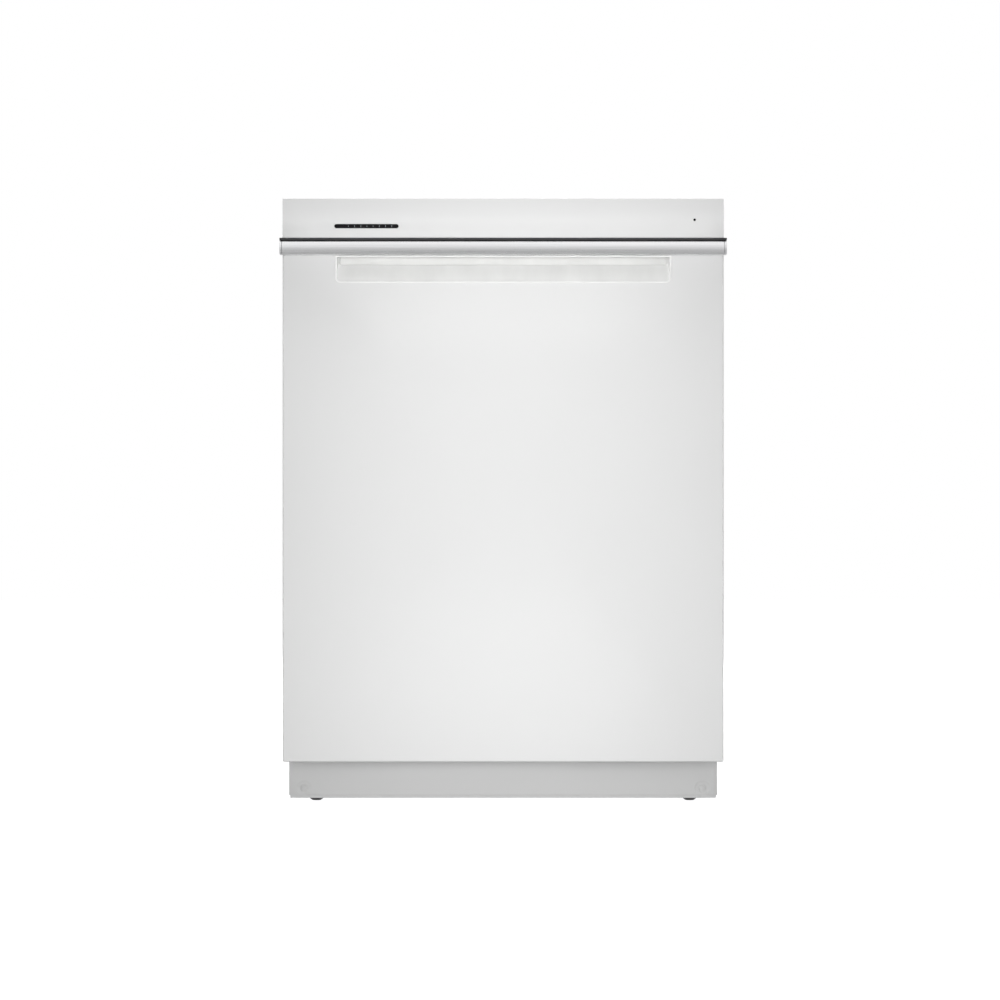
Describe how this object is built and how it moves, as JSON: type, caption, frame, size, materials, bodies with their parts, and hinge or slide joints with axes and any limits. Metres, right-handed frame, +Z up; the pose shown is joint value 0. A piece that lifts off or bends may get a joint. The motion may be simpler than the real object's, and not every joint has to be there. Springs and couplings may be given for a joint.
{
  "type": "built-in dishwasher",
  "caption": "White built-in dishwasher with a flat drop-down door, a full-width crowned trim bar over a recessed finger pocket, a console with a dark window, and a recessed toe kick.",
  "frame": {"origin": "on the floor, at the centre of the bounding box's footprint, with the door closed and the feet wound in", "axes": "+X to the machine's right seen from the front, +Y to its rear, +Z up"},
  "size_m": [0.6124, 0.622, 0.8362],
  "materials": {
    "enamel": "gloss",
    "white_plastic": "satin",
    "trim_metal": "satin",
    "dark_plastic": "satin",
    "stainless": "satin",
    "galvanised": "satin",
    "grey_plastic": "satin",
    "black_window": "gloss",
    "seal": "matte",
    "black_steel": "satin",
    "felt": "matte",
    "rack_coating": "satin"
  },
  "bodies": {
    "chassis": {"tub": "stainless", "tub_gasket": "seal", "base_frame": "galvanised", "sound_blanket": "felt", "latch_strike": "galvanised", "sump": "grey_plastic", "coarse_filter": "stainless", "wash_pump": "dark_plastic", "drain_pump": "dark_plastic", "heating_element": "stainless", "feed_tube": "grey_plastic", "inlet_valve": "white_plastic", "junction_box": "galvanised", "toe_kick_panel": "enamel", "rack_rail_left": "stainless", "mounting_bracket_left": "galvanised", "toe_kick_screw_left": "enamel", "hinge_pin_left": "stainless", "hinge_spring_left": "galvanised", "rack_rail_right": "stainless", "mounting_bracket_right": "galvanised", "toe_kick_screw_right": "enamel", "hinge_pin_right": "stainless", "hinge_spring_right": "galvanised"},
    "door": {"door_outer_panel": "enamel", "handle_pocket": "white_plastic", "handle_trim_bar": "trim_metal", "handle_trim_carrier": "dark_plastic", "control_panel": "enamel", "display_window": "black_window", "status_lens": "black_window", "door_inner_panel": "stainless", "door_latch": "dark_plastic", "detergent_dispenser": "grey_plastic", "hinge_arm_left": "galvanised", "trim_end_cap_left": "trim_metal", "hinge_arm_right": "galvanised", "trim_end_cap_right": "trim_metal"},
    "upper_rack": {"upper_rack": "rack_coating"},
    "lower_rack": {"lower_rack": "rack_coating", "cutlery_basket": "grey_plastic"},
    "lower_spray_arm": {"lower_spray_arm": "grey_plastic"},
    "upper_spray_arm": {"upper_spray_arm": "grey_plastic"},
    "fine_filter": {"fine_filter": "grey_plastic"},
    "toe_kick_lower": {"toe_kick_lower": "enamel"},
    "dispenser_lid": {"dispenser_lid": "grey_plastic"},
    "rinse_aid_cap": {"rinse_aid_cap": "dark_plastic"},
    "levelling_foot_front_left": {"levelling_foot_front_left": "black_steel"},
    "rack_wheel_front_left": {"rack_wheel_front_left": "grey_plastic"},
    "levelling_foot_rear_left": {"levelling_foot_rear_left": "black_steel"},
    "rack_wheel_rear_left": {"rack_wheel_rear_left": "grey_plastic"},
    "levelling_foot_front_right": {"levelling_foot_front_right": "black_steel"},
    "rack_wheel_front_right": {"rack_wheel_front_right": "grey_plastic"},
    "levelling_foot_rear_right": {"levelling_foot_rear_right": "black_steel"},
    "rack_wheel_rear_right": {"rack_wheel_rear_right": "grey_plastic"},
    "button_power": {"button_power": "white_plastic"},
    "button_cycle": {"button_cycle": "white_plastic"},
    "button_options": {"button_options": "white_plastic"},
    "button_start": {"button_start": "white_plastic"}
  },
  "joints": [
    {"name": "door_hinge", "type": "hinge", "parent": "chassis", "child": "door", "pos_m": [0, -0.255, 0.078], "axis": [1, 0, 0], "range_deg": [0, 90], "stiffness_Nm_per_rad": 14, "springref_deg": -11.46},
    {"name": "upper_rack_slide", "type": "slide", "parent": "chassis", "child": "upper_rack", "axis": [0, -1, 0], "range_m": [0, 0.4]},
    {"name": "lower_rack_slide", "type": "slide", "parent": "chassis", "child": "lower_rack", "axis": [0, -1, 0], "range_m": [0, 0.095]},
    {"name": "lower_arm_spin", "type": "hinge", "parent": "chassis", "child": "lower_spray_arm", "pos_m": [0, 0.03, 0.13], "axis": [0, 0, 1], "continuous": true},
    {"name": "upper_arm_spin", "type": "hinge", "parent": "upper_rack", "child": "upper_spray_arm", "pos_m": [0, 0.03, 0.454], "axis": [0, 0, 1], "continuous": true},
    {"name": "filter_twist", "type": "hinge", "parent": "chassis", "child": "fine_filter", "pos_m": [0.044, 0.066, 0.1], "axis": [0, 0, 1], "range_deg": [0, 90]},
    {"name": "toe_kick_drop", "type": "slide", "parent": "chassis", "child": "toe_kick_lower", "axis": [0, 0, 1], "range_m": [-0.03, 0]},
    {"name": "lid_slide", "type": "slide", "parent": "door", "child": "dispenser_lid", "axis": [0, 0, 1], "range_m": [0, 0.07]},
    {"name": "cap_turn", "type": "hinge", "parent": "door", "child": "rinse_aid_cap", "pos_m": [0.008, -0.229, 0.385], "axis": [0, 1, 0], "range_deg": [0, 90]},
    {"name": "power_press", "type": "slide", "parent": "door", "child": "button_power", "axis": [0, 0, -1], "range_m": [0, 0.0015], "stiffness_N_per_m": 300, "springref_m": -0.001},
    {"name": "cycle_press", "type": "slide", "parent": "door", "child": "button_cycle", "axis": [0, 0, -1], "range_m": [0, 0.0015], "stiffness_N_per_m": 300, "springref_m": -0.001},
    {"name": "options_press", "type": "slide", "parent": "door", "child": "button_options", "axis": [0, 0, -1], "range_m": [0, 0.0015], "stiffness_N_per_m": 300, "springref_m": -0.001},
    {"name": "start_press", "type": "slide", "parent": "door", "child": "button_start", "axis": [0, 0, -1], "range_m": [0, 0.0015], "stiffness_N_per_m": 300, "springref_m": -0.001},
    {"name": "foot_front_left_screw", "type": "slide", "parent": "chassis", "child": "levelling_foot_front_left", "axis": [0, 0, 1], "range_m": [-0.04, 0]},
    {"name": "foot_front_right_screw", "type": "slide", "parent": "chassis", "child": "levelling_foot_front_right", "axis": [0, 0, 1], "range_m": [-0.04, 0]},
    {"name": "foot_rear_left_screw", "type": "slide", "parent": "chassis", "child": "levelling_foot_rear_left", "axis": [0, 0, 1], "range_m": [-0.04, 0]},
    {"name": "foot_rear_right_screw", "type": "slide", "parent": "chassis", "child": "levelling_foot_rear_right", "axis": [0, 0, 1], "range_m": [-0.04, 0]},
    {"name": "wheel_front_left_roll", "type": "hinge", "parent": "lower_rack", "child": "rack_wheel_front_left", "pos_m": [-0.259, -0.187, 0.124], "axis": [1, 0, 0], "range_deg": [0, 302]},
    {"name": "wheel_front_right_roll", "type": "hinge", "parent": "lower_rack", "child": "rack_wheel_front_right", "pos_m": [0.259, -0.187, 0.124], "axis": [1, 0, 0], "range_deg": [0, 302]},
    {"name": "wheel_rear_left_roll", "type": "hinge", "parent": "lower_rack", "child": "rack_wheel_rear_left", "pos_m": [-0.259, 0.2, 0.124], "axis": [1, 0, 0], "range_deg": [0, 302]},
    {"name": "wheel_rear_right_roll", "type": "hinge", "parent": "lower_rack", "child": "rack_wheel_rear_right", "pos_m": [0.259, 0.2, 0.124], "axis": [1, 0, 0], "range_deg": [0, 302]}
  ],
  "couplings": [
    {"joint": "upper_rack_slide", "follows": "door_hinge", "m_per_rad": 0.25},
    {"joint": "lower_rack_slide", "follows": "door_hinge", "m_per_rad": 0.06},
    {"joint": "wheel_front_left_roll", "follows": "door_hinge", "ratio": 3.3333},
    {"joint": "wheel_front_right_roll", "follows": "door_hinge", "ratio": 3.3333},
    {"joint": "wheel_rear_left_roll", "follows": "door_hinge", "ratio": 3.3333},
    {"joint": "wheel_rear_right_roll", "follows": "door_hinge", "ratio": 3.3333}
  ]
}
